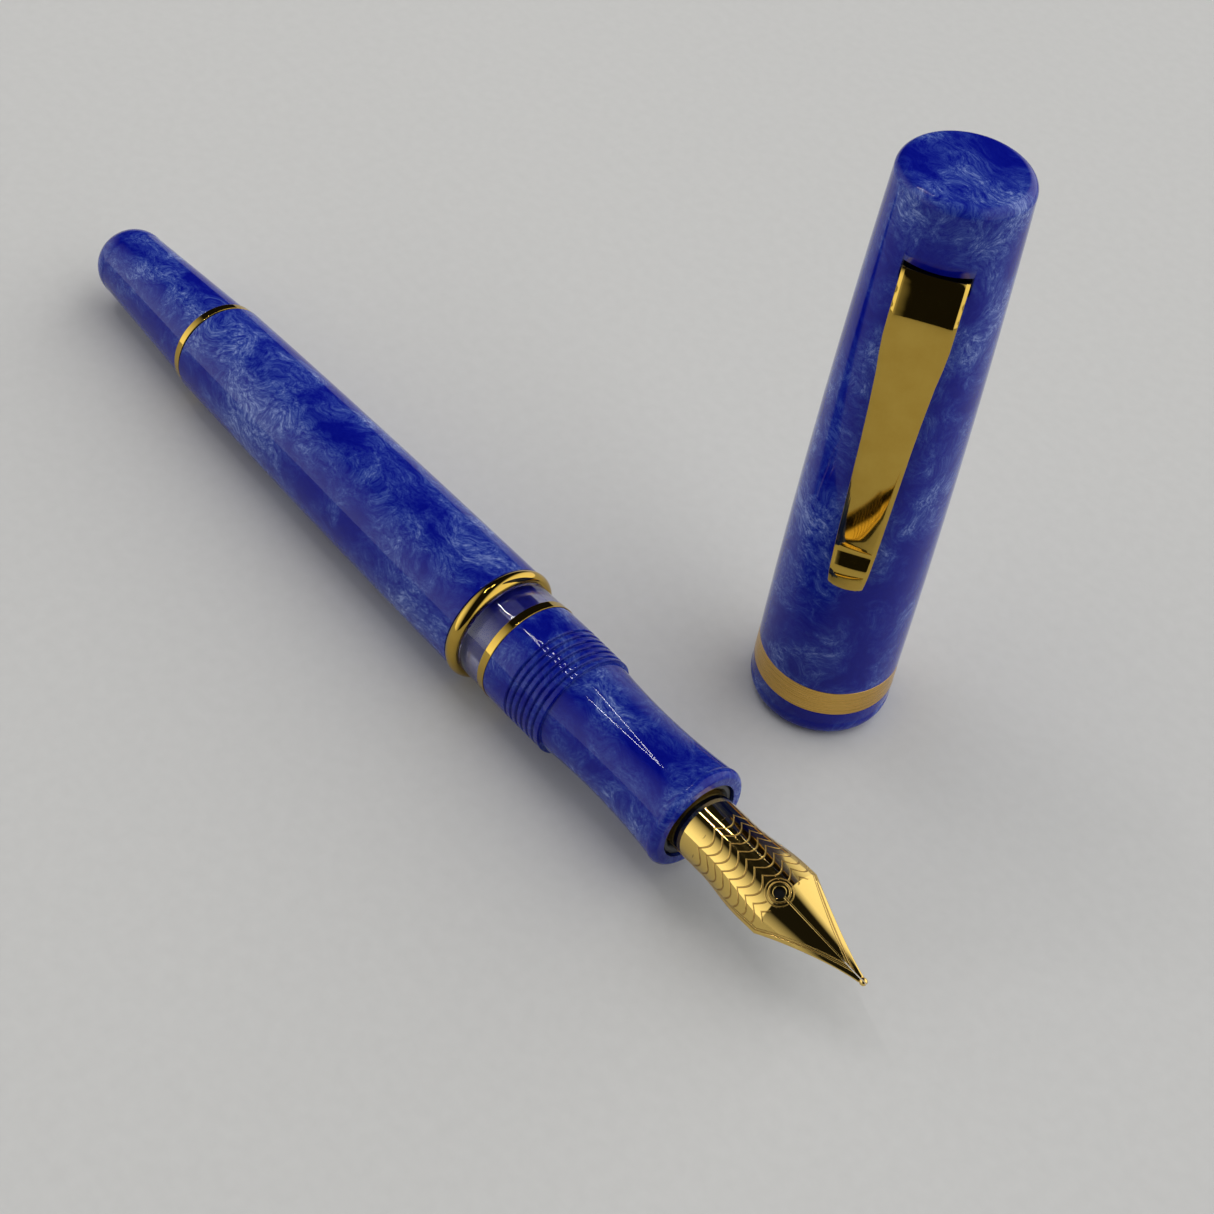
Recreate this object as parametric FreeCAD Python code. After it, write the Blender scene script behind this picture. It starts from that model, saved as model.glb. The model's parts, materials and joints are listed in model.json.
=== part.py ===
"""Piston-filling fountain pen, uncapped: the pen lies on a flat surface and its cap stands beside it.

Millimetres, +Z up. The pen points along +X. The pen's own parts are drawn along the X axis by station:
station 0 is the section's shoulder, the nib is on the + side and the knob on the - side.
The cap's parts are drawn along the Z axis by height above the cap's foot, with the clip on the +X side.
"""
import FreeCAD, Part
import math
import os
from FreeCAD import Placement, Rotation, Vector

os.makedirs("parts", exist_ok=True)

# ---- fits ----
fixed_gap = 0.02        # radial, between pieces that are screwed, glued or pressed together
running_gap = 0.05      # radial, between pieces that turn or slide on each other
hairline = 0.15         # axial, between the turning knob and its ring

# ---- pen: lengths along the axis ----
section_length = 26.2
thin_ring_width = 0.98
window_length = 2.70
front_ring_width = 2.00
barrel_length = 52.0
knob_ring_width = 0.90
knob_length = 21.6
nib_reach = 22.76       # from the section's front face to the tip of the nib

# ---- pen: outside radii ----
collar_radius = 6.00
thread_radius = 6.05
grip_start_radius = 5.63
grip_waist_radius = 5.27
grip_lip_radius = 5.78
grip_lip_setback = 1.2  # from the section's front face back to the crest of its lip
grip_lip_drop = 0.43    # from the lip's crest in to its front face
grip_waist_ahead = 0.6  # the grip is thinnest this far behind its middle
thin_ring_radius = 6.09
window_radius = 5.95
front_ring_radius = 6.82
barrel_front_radius = 6.60
barrel_rear_radius = 5.80
barrel_swell = 0.16     # how far the barrel's middle stands outside a straight taper
knob_ring_radius = 5.72
knob_front_radius = 5.44
knob_end_radius = 4.38
knob_round_length = 3.8 # the knob's rounded end
knob_flat_radius = 1.5  # the flat at the middle of that end
ring_edge = 0.05        # the thin rings are this much smaller at one edge
edge_round = 0.30

# ---- pen: thread for the cap ----
thread_start = 3.0
thread_length = 5.7
thread_pitch = 0.85
thread_depth = 0.33
groove_mouth = 0.48     # width of the pen's groove at the crest
groove_floor = 0.10

# ---- pen: inside ----
chamber_radius = 4.30
rear_tenon_radius = 5.45
rear_tenon_length = 8.0
front_tenon_radius = 5.02
front_tenon_length = 5.4
seal_thickness = 0.6
seal_width = 1.5
passage_radius = 2.6
nib_bore_depth = 14.0
collar_wall = 0.92
collar_recess = 0.30
collar_back_wall = 1.6
collar_back_bore = 1.6
collar_chamfer = 0.35
collar_edge = 0.20

# ---- pen: filling mechanism ----
sleeve_radius = 5.00
sleeve_length = 15.7
sleeve_front_wall = 4.0
gasket_thickness = 1.0
shank_radius = 4.00
shank_length = 8.2
nut_wall = 1.10
nut_length = 9.0
rod_radius = 2.10
rod_flat = 1.50         # half the rod's width across its flats
rod_clearance = 0.20    # radial, where the rod only has to pass
rod_tail_gap = 1.5      # between the rod's tail and the end of the knob's bore
knob_end_wall = 1.8
piston_gap = 0.4        # between the piston and the gasket when the piston is fully back
piston_flange = 0.8
piston_flange_radius = 3.4
piston_neck_radius = 1.5
piston_button_radius = 2.6
piston_button_edge = 0.4
piston_seal_length = 4.0
seal_groove = 0.7

# ---- nib and feed ----
nib_thickness = 0.35
nib_radius = 3.50
nib_wrap = 95.0         # degrees that the nib reaches round the feed on each side
nib_hidden_length = 11.6
nib_parallel_length = 4.0   # from the section's face out to where the nib starts to widen
nib_point_radius = 2.2  # radius of the nib's crown at its point
nib_point_half_width = 0.40
shoulder_reach = 10.6   # from the nib's tip back to its shoulders
shoulder_half_width = 4.10
shoulder_radius = 4.60  # radius of the nib's crown at its shoulders
shoulder_top = 3.35
tip_top = 0.55          # height of the nib's face above the axis at its tip
tip_radius = 0.40
breather_radius = 0.62
breather_behind = 0.36  # the breather hole is this far behind the shoulders
slit_width = 0.12
feed_length = 31.2
feed_tip_radius = 0.68
feed_tail_radius = 1.5
feed_tail_length = 6.5
feed_step_reach = 1.2   # how far the feed's full round shows outside the section
feed_step_length = 0.6
feed_neck_reach = 4.0   # the feed starts to taper this far behind the nib's shoulders
feed_front_edge = 0.3
fin_count = 11
fin_pitch = 0.86
fin_slot = 0.36
fin_root = 1.1          # the fins' slots are cut up to this far below the axis

# ---- cap ----
cap_band_radius = 7.54
cap_body_radius = 7.49
cap_top_radius = 6.06
cap_swell = 0.34        # how far the cap's middle stands outside a straight taper
cap_top_round = 1.0
lip_height = 3.84
lip_foot_radius = 6.55
lip_round_height = 2.2
band_width = 3.29
mouth_radius = 6.20
cap_tenon_radius = 6.93
lip_ledge = 1.0
cap_thread_radius = 5.84
cap_thread_depth = 0.30
cap_groove_mouth = 0.72
cap_groove_floor = 0.36
thread_lead_in = 0.2
section_bore_radius = 5.95   # the cap's bore round the grip and its lip
inner_cap_radius = 5.30
inner_cap_wall = 0.70
inner_cap_end = 1.2
tip_clearance = 1.2
bush_gap = 0.21         # between the liner and the bush above it
bush_length = 3.0
socket_radius = 2.0     # hex socket, to its corners
seat_floor = 0.90       # the clip's seat below the tang
seat_roof = 0.95        # and above it

# ---- clip ----
clip_width = 5.90
clip_foot_width = 4.10
clip_end_width = 3.10
clip_sheet = 0.75
clip_top_drop = 6.2     # from the cap's top down to the clip's top edge
tang_drop = 0.35        # from the clip's top edge down to the tang
tang_thickness = 0.90
clip_length = 36.5
clip_stand = 1.75       # from the cap's wall out to the face of the clip's arm
clip_shoulder = 4.4     # height of the curve from the cap's wall out to the arm
clip_foot_height = 3.6  # from the clip's end up to where it touches the cap
clip_foot_gap = 0.04
clip_kick = 0.75        # how far the clip's end turns out
clip_parallel = 6.5     # the clip keeps its full width this far below its top edge
clip_tang_reach = 3.6   # how near the tang comes to the cap's axis
clip_slot_gap = 0.12

# ---- layout on the surface ----
cap_ahead = 21.41       # from the pen's front ring to the cap's axis, along the pen
cap_aside = 27.26       # from the pen's axis to the cap's axis
clip_heading = -57.5    # degrees from +X
pen_roll = 22.0         # degrees that the nib's face is rolled towards -Y

# ---- stations along the pen ----
thin_ring_rear = -thin_ring_width
window_rear = thin_ring_rear - window_length
barrel_front = window_rear - front_ring_width
barrel_rear = barrel_front - barrel_length
knob_ring_rear = barrel_rear - knob_ring_width
knob_front = knob_ring_rear - hairline
knob_rear = knob_front - knob_length
front_ring_middle = (window_rear + barrel_front) / 2
thread_end = thread_start + thread_length
nib_bore_radius = nib_radius + collar_wall + 2 * fixed_gap
nut_radius = rod_radius + nut_wall
nib_tip = section_length + nib_reach
collar_front = section_length - collar_recess
collar_rear = section_length - nib_bore_depth + fixed_gap
tenon_rear = barrel_front - rear_tenon_length
sleeve_front = barrel_rear + sleeve_length
gasket_front = sleeve_front + gasket_thickness
piston_rear = gasket_front + piston_gap
neck_rear = piston_rear + piston_flange
neck_front = neck_rear + piston_seal_length
piston_front = neck_front + piston_flange
shank_front = knob_front + shank_length
knob_bore_end = knob_rear + knob_end_wall

# ---- heights in the cap ----
band_top = lip_height + band_width
capped_offset = -window_rear            # height in the cap = station on the pen + this, when capped
cap_thread_start = capped_offset + thread_start + thread_lead_in
cap_thread_end = capped_offset + thread_end + thread_lead_in
inner_cap_start = capped_offset + section_length + thread_lead_in
inner_cap_top = capped_offset + nib_tip + tip_clearance + inner_cap_end
bush_top = inner_cap_top + bush_gap + bush_length
tang_low = bush_top + seat_floor
tang_high = tang_low + tang_thickness
bore_top = tang_high + seat_roof
clip_top = tang_high + tang_drop
clip_bottom = clip_top - clip_length
cap_height = clip_top + clip_top_drop


def barrel_radius(station):
    """The barrel's outside radius: a straight taper plus a shallow parabola."""
    share = (barrel_front - station) / barrel_length
    taper = barrel_front_radius + (barrel_rear_radius - barrel_front_radius) * share
    return taper + 4 * barrel_swell * share * (1 - share)


def cap_radius(height):
    """The cap's outside radius above its band: a straight taper plus a shallow parabola."""
    share = (height - band_top) / (cap_height - band_top)
    taper = cap_body_radius + (cap_top_radius - cap_body_radius) * share
    return taper + 4 * cap_swell * share * (1 - share)


def outline_face(points, place):
    """Face inside a closed outline. A point is (along, out), or (along, out, mid_along, mid_out) where
    it is reached from the point before it by an arc through the middle point."""
    edges = []
    before = points[-1]
    for point in points:
        start = place(before[0], before[1])
        end = place(point[0], point[1])
        if len(point) == 4:
            edges.append(Part.Arc(start, place(point[2], point[3]), end).toShape())
        elif not start.isEqual(end, 1e-7):
            edges.append(Part.LineSegment(start, end).toShape())
        before = point
    return Part.Face(Part.Wire(edges))


def turned(*points):
    """Solid turned about the pen's axis, X, from (station, radius) points."""
    face = outline_face(points, lambda along, out: Vector(along, 0, out))
    return face.revolve(Vector(0, 0, 0), Vector(1, 0, 0), 360)


def turned_cap(*points):
    """Solid turned about the cap's axis, Z, from (height, radius) points."""
    face = outline_face(points, lambda along, out: Vector(out, 0, along))
    return face.revolve(Vector(0, 0, 0), Vector(0, 0, 1), 360)


def helical_groove(length, crest, floor, mouth_width, floor_width):
    """A screw-thread groove along Z, from a radius just past the crest to the floor's radius."""
    past = 0.15 if crest > floor else -0.15
    widen = (mouth_width - floor_width) / 2 * past / (crest - floor)
    helix = Part.makeHelix(thread_pitch, length, floor)
    corners = [Vector(floor, 0, -floor_width / 2), Vector(floor, 0, floor_width / 2),
               Vector(crest + past, 0, mouth_width / 2 + widen),
               Vector(crest + past, 0, -mouth_width / 2 - widen)]
    profile = Part.makePolygon(corners + corners[:1])
    return Part.Wire(helix.Edges).makePipeShell([profile], True, True)


def section():
    """Threaded collar, waisted grip and flared lip, bored for the nib unit and the window's tenon."""
    waist = (thread_end + section_length) / 2 - grip_waist_ahead
    root = thread_radius - thread_depth
    body = turned(
        (0, front_tenon_radius), (0, collar_radius), (thread_start, thread_radius),
        (thread_end, thread_radius), (thread_end, grip_start_radius),
        (section_length - grip_lip_setback, grip_lip_radius, waist, grip_waist_radius),
        (section_length, grip_lip_radius - grip_lip_drop,
         section_length - 0.25, grip_lip_radius - 0.08),
        (section_length, nib_bore_radius), (section_length - nib_bore_depth, nib_bore_radius),
        (section_length - nib_bore_depth, passage_radius),
        (front_tenon_length + seal_thickness, passage_radius),
        (front_tenon_length + seal_thickness, front_tenon_radius))
    groove = helical_groove(thread_length - thread_pitch, thread_radius, root, groove_mouth, groove_floor)
    groove.rotate(Vector(0, 0, 0), Vector(0, 1, 0), 90)
    groove.translate(Vector(thread_start + thread_pitch / 2, 0, 0))
    return body.cut(groove)


def section_seal():
    """Flat ring that seals the window's tenon against the section."""
    start = front_tenon_length
    end = front_tenon_length + seal_thickness
    outer = front_tenon_radius - fixed_gap
    inner = outer - seal_width
    return turned((start, inner), (start, outer), (end, outer), (end, inner))


def window_front_ring():
    """Thin flat ring between the ink window and the section."""
    bore = front_tenon_radius
    return turned((thin_ring_rear, bore), (thin_ring_rear, thin_ring_radius - ring_edge),
                  (0, thin_ring_radius), (0, bore))


def ink_window():
    """Clear tube that joins the barrel to the section; only its middle shoulder shows."""
    front = front_tenon_radius - fixed_gap
    rear = rear_tenon_radius - fixed_gap
    return turned(
        (tenon_rear, chamber_radius), (tenon_rear, rear), (window_rear, rear),
        (window_rear, window_radius), (thin_ring_rear, window_radius), (thin_ring_rear, front),
        (front_tenon_length, front), (front_tenon_length, chamber_radius))


def barrel_front_ring():
    """Polished half-round ring at the mouth of the barrel."""
    return turned(
        (barrel_front, rear_tenon_radius), (barrel_front, barrel_front_radius - 0.1),
        (window_rear, window_radius + 0.2, front_ring_middle - 0.1, front_ring_radius),
        (window_rear, rear_tenon_radius))


def barrel():
    """Tapered tube: ink chamber in the middle, bored wider at both ends."""
    middle = (barrel_front + barrel_rear) / 2
    return turned(
        (barrel_front, rear_tenon_radius), (barrel_front, barrel_front_radius),
        (barrel_rear + edge_round, barrel_radius(barrel_rear + edge_round), middle, barrel_radius(middle)),
        (barrel_rear, barrel_rear_radius - edge_round),
        (barrel_rear, sleeve_radius), (gasket_front, sleeve_radius),
        (gasket_front, chamber_radius), (tenon_rear, chamber_radius), (tenon_rear, rear_tenon_radius))


def flatted_bar(start, end, radius, half_flat):
    """Round bar along X with two flats facing +Y and -Y."""
    bar = Part.makeCylinder(radius, end - start, Vector(start, 0, 0), Vector(1, 0, 0))
    slab = Part.makeBox(end - start, 2 * half_flat, 4 * radius, Vector(start, -half_flat, -2 * radius))
    return bar.common(slab)


def guide_sleeve():
    """Threaded sleeve fixed in the barrel: it carries the knob and stops the rod from turning."""
    outer = sleeve_radius - fixed_gap
    bore = shank_radius + running_gap
    wall = sleeve_front - sleeve_front_wall
    body = turned((barrel_rear, bore), (barrel_rear, outer), (sleeve_front, outer),
                  (sleeve_front, 0), (wall, 0), (wall, bore))
    return body.cut(flatted_bar(wall - 1, sleeve_front + 1, rod_radius + running_gap, rod_flat + running_gap))


def sleeve_gasket():
    """Ring that seals the mechanism from the ink chamber."""
    outer = sleeve_radius - fixed_gap
    inner = rod_radius + rod_clearance
    return turned((sleeve_front, inner), (sleeve_front, outer), (gasket_front, outer), (gasket_front, inner))


def knob_ring():
    """Thin ring that travels with the knob and closes against the barrel."""
    bore = shank_radius + running_gap
    return turned((knob_ring_rear, bore), (knob_ring_rear, knob_ring_radius - ring_edge),
                  (barrel_rear, knob_ring_radius), (barrel_rear, bore))


def knob():
    """Tapered filling knob with a rounded end, a shank that screws into the sleeve, and a blind bore."""
    nut_seat = shank_front - nut_length
    round_start = knob_rear + knob_round_length
    bore = rod_radius + rod_clearance
    return turned(
        (knob_rear, 0), (knob_rear, knob_flat_radius),
        (round_start, knob_end_radius, knob_rear + knob_round_length / 4, 3.35),
        (knob_front, knob_front_radius), (knob_front, shank_radius), (shank_front, shank_radius),
        (shank_front, nut_radius), (nut_seat, nut_radius), (nut_seat, bore), (knob_bore_end, bore),
        (knob_bore_end, 0))


def drive_nut():
    """Nut fixed in the knob's shank; its steep thread drives the piston rod."""
    outer = nut_radius - fixed_gap
    bore = rod_radius + running_gap
    rear = shank_front - nut_length
    return turned((rear, bore), (rear, outer), (shank_front, outer), (shank_front, bore))


def piston_rod():
    """Flatted rod with a flange and a button that hold the seal."""
    bar = flatted_bar(knob_bore_end + rod_tail_gap, piston_rear + piston_flange / 2, rod_radius, rod_flat)
    head = turned(
        (piston_rear, 0), (piston_rear, piston_flange_radius), (neck_rear, piston_flange_radius),
        (neck_rear, piston_neck_radius), (neck_front, piston_neck_radius),
        (neck_front, piston_button_radius), (piston_front, piston_button_radius - piston_button_edge),
        (piston_front, 0))
    return bar.fuse(head).removeSplitter()


def piston_seal():
    """Soft seal with two lips that wipe the chamber."""
    lip = chamber_radius - running_gap / 2
    waist = lip - seal_groove
    bore = piston_neck_radius + fixed_gap
    third = piston_seal_length / 3
    return turned(
        (neck_rear, bore), (neck_rear, lip), (neck_rear + third * 0.8, lip), (neck_rear + third, waist),
        (neck_front - third, waist), (neck_front - third * 0.8, lip), (neck_front, lip), (neck_front, bore))


def nib_collar():
    """Dark threaded housing that holds the nib and the feed in the section."""
    outer = nib_bore_radius - fixed_gap
    bore = nib_radius + fixed_gap
    seat = collar_rear + collar_back_wall
    return turned(
        (collar_rear, collar_back_bore), (collar_rear, outer), (collar_front - collar_edge, outer),
        (collar_front, outer - collar_edge), (collar_front, bore + collar_chamfer),
        (collar_front - collar_chamfer, bore), (seat, bore), (seat, collar_back_bore))


def nib_band(station, top, radius, half_angle):
    """Closed wire across the nib: its crowned face, its back and its two edges."""
    centre = Vector(station, 0, top - radius)

    def at(reach, angle):
        return centre + Vector(0, reach * math.sin(angle), reach * math.cos(angle))

    inner = radius - nib_thickness
    face = Part.Arc(at(radius, -half_angle), at(radius, 0), at(radius, half_angle)).toShape()
    back = Part.Arc(at(inner, half_angle), at(inner, 0), at(inner, -half_angle)).toShape()
    right = Part.LineSegment(at(radius, half_angle), at(inner, half_angle)).toShape()
    left = Part.LineSegment(at(inner, -half_angle), at(radius, -half_angle)).toShape()
    return Part.Wire([face, right, back, left])


def nib():
    """Bent sheet: a half tube round the feed, widest at its shoulders, drawn down to a slit point."""
    shoulder = nib_tip - shoulder_reach
    point = nib_tip - 2 * tip_radius + 0.1
    wrap = math.radians(nib_wrap)
    shoulder_wrap = math.asin(shoulder_half_width / shoulder_radius)
    rear = section_length - nib_hidden_length
    tube = section_length + nib_parallel_length
    parallel = Part.makeLoft([nib_band(rear, nib_radius, nib_radius, wrap),
                              nib_band(tube, nib_radius, nib_radius, wrap)], True, True)
    flare = Part.makeLoft([nib_band(tube, nib_radius, nib_radius, wrap),
                           nib_band(shoulder, shoulder_top, shoulder_radius, shoulder_wrap)], True, True)
    bands = []
    for share in (0, 0.35, 0.7, 1):
        station = shoulder + (point - shoulder) * share
        top = shoulder_top + (tip_top - shoulder_top) * share
        radius = shoulder_radius * (1 - share) + nib_point_radius * share
        half_width = shoulder_half_width * (1 - share) ** 1.15 + nib_point_half_width * share
        bands.append(nib_band(station, top, radius, math.asin(half_width / radius)))
    tines = Part.makeLoft(bands, True, False)
    blank = parallel.fuse([flare, tines]).removeSplitter()
    breather = shoulder - breather_behind
    hole = Part.makeCylinder(breather_radius, 6, Vector(breather, 0, 0), Vector(0, 0, 1))
    slit = Part.makeBox(nib_tip - breather, slit_width, 8, Vector(breather, -slit_width / 2, -3))
    return blank.cut(hole.fuse(slit))


def nib_tipping(nib_shape):
    """Hard bead welded under the nib's point, slit with it."""
    centre = Vector(nib_tip - tip_radius, 0, tip_top - nib_thickness / 2)
    bead = Part.makeSphere(tip_radius, centre)
    slit_start = Vector(nib_tip - 2 * tip_radius, -slit_width / 2, -3)
    filler = Part.makeBox(2 * tip_radius, slit_width, 8, slit_start)
    return bead.cut(nib_shape).cut(filler)


def feed(nib_shape):
    """Moulded ink feed: a cylinder under the nib, tapered to the front, with combs cut across its belly."""
    shoulder = nib_tip - shoulder_reach
    under = nib_radius - nib_thickness - fixed_gap
    rear = section_length - nib_hidden_length
    step = section_length + feed_step_reach
    front = rear + feed_length
    blank = turned(
        (rear, 0), (rear, nib_radius - fixed_gap), (step, nib_radius - fixed_gap),
        (step + feed_step_length, under),
        (shoulder - feed_neck_reach, under - 0.05), (shoulder, under - 0.35),
        (front - feed_front_edge, feed_tip_radius,
         (shoulder + front) / 2, (under + feed_tip_radius) / 2 - 0.08),
        (front, feed_tip_radius / 2), (front, 0))
    tail = Part.makeCylinder(feed_tail_radius, feed_tail_length, Vector(rear - feed_tail_length, 0, 0),
                             Vector(1, 0, 0))
    blank = blank.fuse(tail)
    for index in range(fin_count):
        start = step + 2 * feed_step_length + index * fin_pitch
        blank = blank.cut(Part.makeBox(fin_slot, 8, 4, Vector(start, -4, -fin_root - 4)))
    return blank.cut(nib_shape)


def cap_lip():
    """Turned ring that closes the cap's mouth below the band."""
    return turned_cap(
        (0, mouth_radius), (0, lip_foot_radius), (lip_round_height, cap_band_radius - 0.04, 0.62, 7.22),
        (lip_height, cap_band_radius), (lip_height, cap_tenon_radius), (lip_ledge, cap_tenon_radius),
        (lip_ledge, mouth_radius))


def cap_band():
    """Wide satin band held between the lip and the cap's body."""
    return turned_cap(
        (lip_height, cap_tenon_radius), (lip_height, cap_band_radius),
        (band_top, cap_body_radius), (band_top, cap_tenon_radius))


def slot_box(half_width, low, high, reach):
    """Straight slot from near the cap's axis out through its wall."""
    return Part.makeBox(12, 2 * half_width, high - low, Vector(reach, -half_width, low))


def cap_tube():
    """The cap's body: stepped bore from the mouth, thread near the foot, slot for the clip near the top."""
    tenon = cap_tenon_radius - fixed_gap
    middle = (band_top + cap_height) / 2
    rounding = cap_height - cap_top_round
    body = turned_cap(
        (lip_ledge, mouth_radius), (lip_ledge, tenon), (band_top, tenon), (band_top, cap_body_radius),
        (rounding, cap_radius(rounding), middle, cap_radius(middle)),
        (cap_height, cap_top_radius - cap_top_round,
         cap_height - 0.27 * cap_top_round, cap_top_radius - 0.27 * cap_top_round),
        (cap_height, 0), (bore_top, 0), (bore_top, inner_cap_radius), (inner_cap_start, inner_cap_radius),
        (inner_cap_start, section_bore_radius), (cap_thread_end, section_bore_radius),
        (cap_thread_end, cap_thread_radius), (cap_thread_start, cap_thread_radius),
        (cap_thread_start, mouth_radius))
    floor = cap_thread_radius + cap_thread_depth
    groove = helical_groove(thread_length - thread_pitch, cap_thread_radius, floor,
                            cap_groove_mouth, cap_groove_floor)
    groove.translate(Vector(0, 0, cap_thread_start + thread_pitch / 2))
    slot = slot_box(clip_width / 2 + clip_slot_gap, tang_low - clip_slot_gap, tang_high + clip_slot_gap,
                    inner_cap_radius - 2)
    return body.cut(groove).cut(slot)


def inner_cap():
    """Liner that closes over the section's face and keeps the nib from drying."""
    outer = inner_cap_radius - fixed_gap
    bore = outer - inner_cap_wall
    ceiling = inner_cap_top - inner_cap_end
    return turned_cap(
        (inner_cap_start, bore), (inner_cap_start, outer), (inner_cap_top, outer), (inner_cap_top, 0),
        (ceiling, 0), (ceiling, bore))


def clip_bush():
    """Threaded bush that clamps the clip's seat from below; its hex socket takes the key."""
    low = bush_top - bush_length
    bush = Part.makeCylinder(inner_cap_radius - fixed_gap, bush_length, Vector(0, 0, low))
    corners = []
    for index in range(6):
        turn = math.radians(60 * index)
        corners.append(Vector(socket_radius * math.cos(turn), socket_radius * math.sin(turn), low - 1))
    socket = Part.Face(Part.makePolygon(corners + corners[:1])).extrude(Vector(0, 0, bush_length + 2))
    return bush.cut(socket)


def clip_seat():
    """Disc above the bush, slotted for the clip's tang."""
    disc = Part.makeCylinder(inner_cap_radius - fixed_gap, bore_top - bush_top, Vector(0, 0, bush_top))
    return disc.cut(slot_box(clip_width / 2 + clip_slot_gap, tang_low - clip_slot_gap,
                             tang_high + clip_slot_gap, clip_tang_reach - 2 * clip_slot_gap))


def clip():
    """Sprung strip: a tang through the cap's wall, a shoulder, a tapering arm and an end turned out."""
    wall = cap_radius(tang_high)
    face = wall + clip_stand
    back = face - clip_sheet
    contact = clip_bottom + clip_foot_height
    inner = cap_radius(contact) + clip_foot_gap
    outer = inner + clip_sheet
    arm = tang_high - clip_shoulder
    side = outline_face([
        (tang_low, clip_tang_reach), (tang_high, clip_tang_reach), (tang_high, wall + 0.25),
        (tang_high - 0.45, wall + 0.78, tang_high - 0.08, wall + 0.58),
        (arm, face, tang_high - 2.4, face - 0.24),
        (contact + 3.0, outer + 0.22),
        (contact, outer, contact + 1.4, outer + 0.07),
        (clip_bottom, outer + clip_kick, contact - 1.9, outer + 0.16),
        (clip_bottom + 0.25, inner + clip_kick),
        (contact, inner, contact - 1.8, inner + 0.14),
        (contact + 3.0, inner + 0.22, contact + 1.4, inner + 0.07),
        (arm, back),
        (tang_low, wall + 0.16, tang_high - 2.6, back - 0.22)],
        lambda along, out: Vector(out, -clip_width, along))
    strip = side.extrude(Vector(0, 2 * clip_width, 0))
    half = clip_width / 2
    knee = clip_top - clip_parallel
    edge = [(clip_top + 1, half), (knee, half), (knee - 4.0, half - 0.31), (knee - 12.0, half - 0.62),
            (clip_bottom + 4.5, clip_foot_width / 2), (clip_bottom + 0.9, clip_end_width / 2 + 0.25),
            (clip_bottom - 0.5, clip_end_width / 2 - 0.35)]
    right = [Vector(0, out, height) for height, out in edge]
    left = [Vector(0, -out, height) for height, out in reversed(edge)]
    outline = Part.Face(Part.makePolygon(right + left + right[:1])).extrude(Vector(12, 0, 0))
    return strip.common(outline)


def pen_tilt():
    """Angle at which the pen lies on its front ring and the swell of its barrel."""
    slopes = []
    for index in range(1, 200):
        station = barrel_front - barrel_length * index / 200
        drop = front_ring_radius - barrel_radius(station)
        slopes.append(math.atan2(drop, front_ring_middle - station))
    return min(slopes)


tilt = pen_tilt()
tip_x = (nib_tip - front_ring_middle) * math.cos(tilt)
tail_x = (knob_rear - front_ring_middle) * math.cos(tilt) - knob_flat_radius * math.sin(tilt)
origin_x = (tip_x + tail_x) / 2
origin_y = (cap_aside + cap_band_radius - front_ring_radius) / 2
pen_place = Placement(Vector(-origin_x, -origin_y, front_ring_radius / math.cos(tilt)),
                      Rotation(Vector(0, 1, 0), -math.degrees(tilt))).multiply(
                      Placement(Vector(-front_ring_middle, 0, 0), Rotation(Vector(1, 0, 0), pen_roll)))
cap_place = Placement(Vector(cap_ahead - origin_x, cap_aside - origin_y, 0),
                      Rotation(Vector(0, 0, 1), clip_heading))

nib_shape = nib()
pen_parts = {
    "barrel": barrel(),
    "barrel_front_ring": barrel_front_ring(),
    "ink_window": ink_window(),
    "window_front_ring": window_front_ring(),
    "section": section(),
    "section_seal": section_seal(),
    "nib_collar": nib_collar(),
    "nib": nib_shape,
    "nib_tipping": nib_tipping(nib_shape),
    "feed": feed(nib_shape),
    "guide_sleeve": guide_sleeve(),
    "sleeve_gasket": sleeve_gasket(),
    "knob_ring": knob_ring(),
    "knob": knob(),
    "drive_nut": drive_nut(),
    "piston_rod": piston_rod(),
    "piston_seal": piston_seal(),
}
cap_parts = {
    "cap_tube": cap_tube(),
    "cap_band": cap_band(),
    "cap_lip": cap_lip(),
    "inner_cap": inner_cap(),
    "clip_bush": clip_bush(),
    "clip_seat": clip_seat(),
    "clip": clip(),
}

for parts, place in ((pen_parts, pen_place), (cap_parts, cap_place)):
    for name, shape in parts.items():
        shape.Placement = place.multiply(shape.Placement)
        shape.exportStep(os.path.join("parts", name + ".step"))
        print(name, "solids", len(shape.Solids), "valid", shape.isValid(), "volume", round(shape.Volume, 1))
print("tilt in degrees", round(math.degrees(tilt), 3))
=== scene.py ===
"""Piston-filling fountain pen in marbled blue acrylic with gold trim. The pen lies open on a pale surface,
and its cap stands beside it. Lengths are in millimetres until placed() turns them to metres. A station is
a distance along the pen's axis from the section's shoulder, positive towards the nib. A height is measured
up the cap from its foot."""
import json
import math
import bmesh
import bpy
import numpy as np
from mathutils import Matrix, Vector


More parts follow.
